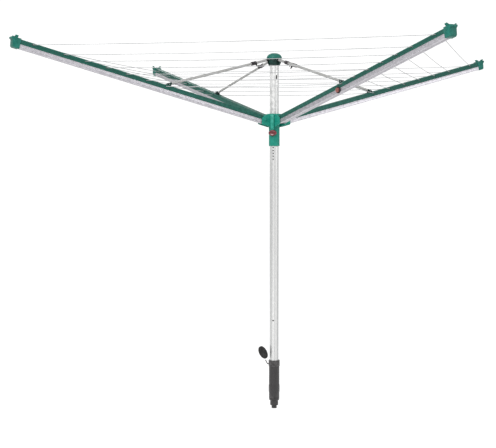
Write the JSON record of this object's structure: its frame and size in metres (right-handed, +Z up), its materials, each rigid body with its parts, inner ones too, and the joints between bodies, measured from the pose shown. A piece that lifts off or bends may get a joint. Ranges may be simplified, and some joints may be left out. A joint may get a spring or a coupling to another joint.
{
  "type": "rotary clothesline",
  "caption": "Rotary clothesline: a round mast in a ground sleeve, a sliding hub with folding arms and struts, a domed cap, and line strung in squares between the arms.",
  "frame": {"origin": "centre of the flat tip of the ground sleeve, on the mast's axis", "axes": "+Z up along the mast; +X out along arm 1, and arms 2, 3 and 4 follow anticlockwise seen from above"},
  "size_m": [3.0302, 3.0302, 1.9976],
  "materials": {
    "green_plastic": "moulded, satin",
    "dark_green_plastic": "moulded, satin",
    "aluminium": "anodised, satin",
    "grey_paint": "powder coated, satin",
    "charcoal_plastic": "moulded, matt",
    "black_plastic": "moulded, satin",
    "black_rubber": "moulded, matt",
    "red_plastic": "moulded, glossy",
    "knob_plastic": "moulded, satin",
    "steel": "turned, bright",
    "line_sheath": "extruded, semi-matt"
  },
  "bodies": {
    "ground": {"ground_sleeve": "charcoal_plastic", "lid_strap": "black_rubber"},
    "lid": {"lid": "black_rubber"},
    "mast": {"mast_tube": "aluminium", "foot_plug": "charcoal_plastic", "crown": "dark_green_plastic", "cap": "green_plastic", "crown_pin_1": "steel", "crown_pin_2": "steel", "crown_pin_3": "steel", "crown_pin_4": "steel", "clothes_line": "line_sheath"},
    "hub": {"hub": "green_plastic"},
    "button": {"release_button": "red_plastic"},
    "knob": {"tension_knob": "knob_plastic"},
    "strut_1": {"strut_1_tube": "grey_paint", "strut_1_top_end": "black_plastic", "strut_1_lower_end": "black_plastic", "strut_1_hook": "black_plastic"},
    "arm_1": {"arm_1_cover": "green_plastic", "arm_1_channel": "aluminium", "arm_1_end_cap": "green_plastic", "arm_1_root_plug": "dark_green_plastic", "arm_1_bracket": "dark_green_plastic", "arm_1_root_pin": "steel", "bracket_pin_1": "steel"},
    "strut_2": {"strut_2_tube": "grey_paint", "strut_2_top_end": "black_plastic", "strut_2_lower_end": "black_plastic", "strut_2_hook": "black_plastic"},
    "arm_2": {"arm_2_cover": "green_plastic", "arm_2_channel": "aluminium", "arm_2_end_cap": "green_plastic", "arm_2_root_plug": "dark_green_plastic", "arm_2_bracket": "dark_green_plastic", "arm_2_root_pin": "steel", "bracket_pin_2": "steel"},
    "strut_3": {"strut_3_tube": "grey_paint", "strut_3_top_end": "black_plastic", "strut_3_lower_end": "black_plastic", "strut_3_hook": "black_plastic"},
    "arm_3": {"arm_3_cover": "green_plastic", "arm_3_channel": "aluminium", "arm_3_end_cap": "green_plastic", "arm_3_root_plug": "dark_green_plastic", "arm_3_bracket": "dark_green_plastic", "arm_3_root_pin": "steel", "bracket_pin_3": "steel"},
    "strut_4": {"strut_4_tube": "grey_paint", "strut_4_top_end": "black_plastic", "strut_4_lower_end": "black_plastic", "strut_4_hook": "black_plastic"},
    "arm_4": {"arm_4_cover": "green_plastic", "arm_4_channel": "aluminium", "arm_4_end_cap": "green_plastic", "arm_4_root_plug": "dark_green_plastic", "arm_4_bracket": "dark_green_plastic", "arm_4_root_pin": "steel", "bracket_pin_4": "steel", "knob_ring": "black_plastic"}
  },
  "joints": [
    {"name": "mast_spin", "type": "hinge", "parent": "ground", "child": "mast", "pos_m": [0, 0, 0.05], "axis": [0, 0, 1], "continuous": true},
    {"name": "hub_slide", "type": "slide", "parent": "mast", "child": "hub", "axis": [0, 0, -1], "range_m": [0, 0.9081], "deforming": ["clothes_line"]},
    {"name": "button_press", "type": "slide", "parent": "hub", "child": "button", "axis": [0.7071, 0.7071, 0], "range_m": [0, 0.004], "stiffness_N_per_m": 900, "springref_m": -0.002},
    {"name": "knob_turn", "type": "hinge", "parent": "arm_4", "child": "knob", "pos_m": [-0.0183, -0.6503, 1.73658], "axis": [-1, 0, 0], "continuous": true},
    {"name": "lid_swing", "type": "hinge", "parent": "ground", "child": "lid", "pos_m": [-0.0407, 0.02514, 0.27382], "axis": [-0.5255, -0.8508, 0], "range_deg": [-12, 60], "stiffness_Nm_per_rad": 0.2},
    {"name": "strut_1_fold", "type": "hinge", "parent": "mast", "child": "strut_1", "pos_m": [0.036, 0, 1.934], "axis": [0, 1, 0], "range_deg": [0, 76.3]},
    {"name": "arm_1_fold", "type": "hinge", "parent": "strut_1", "child": "arm_1", "pos_m": [0.65216, 0, 1.78087], "axis": [0, 1, 0], "range_deg": [-152.2, 0]},
    {"name": "strut_2_fold", "type": "hinge", "parent": "mast", "child": "strut_2", "pos_m": [0, 0.036, 1.934], "axis": [-1, 0, 0], "range_deg": [0, 76.3]},
    {"name": "arm_2_fold", "type": "hinge", "parent": "strut_2", "child": "arm_2", "pos_m": [0, 0.65216, 1.78087], "axis": [-1, 0, 0], "range_deg": [-152.2, 0]},
    {"name": "strut_3_fold", "type": "hinge", "parent": "mast", "child": "strut_3", "pos_m": [-0.036, 0, 1.934], "axis": [0, -1, 0], "range_deg": [0, 76.3]},
    {"name": "arm_3_fold", "type": "hinge", "parent": "strut_3", "child": "arm_3", "pos_m": [-0.65216, 0, 1.78087], "axis": [0, -1, 0], "range_deg": [-152.2, 0]},
    {"name": "strut_4_fold", "type": "hinge", "parent": "mast", "child": "strut_4", "pos_m": [0, -0.036, 1.934], "axis": [1, 0, 0], "range_deg": [0, 76.3]},
    {"name": "arm_4_fold", "type": "hinge", "parent": "strut_4", "child": "arm_4", "pos_m": [0, -0.65216, 1.78087], "axis": [1, 0, 0], "range_deg": [-152.2, 0]}
  ],
  "couplings": [
    {"joint": "strut_1_fold", "follows": "hub_slide", "rad_per_m": 1.4572},
    {"joint": "arm_1_fold", "follows": "hub_slide", "rad_per_m": -2.916},
    {"joint": "strut_2_fold", "follows": "hub_slide", "rad_per_m": 1.4572},
    {"joint": "arm_2_fold", "follows": "hub_slide", "rad_per_m": -2.916},
    {"joint": "strut_3_fold", "follows": "hub_slide", "rad_per_m": 1.4572},
    {"joint": "arm_3_fold", "follows": "hub_slide", "rad_per_m": -2.916},
    {"joint": "strut_4_fold", "follows": "hub_slide", "rad_per_m": 1.4572},
    {"joint": "arm_4_fold", "follows": "hub_slide", "rad_per_m": -2.916}
  ]
}
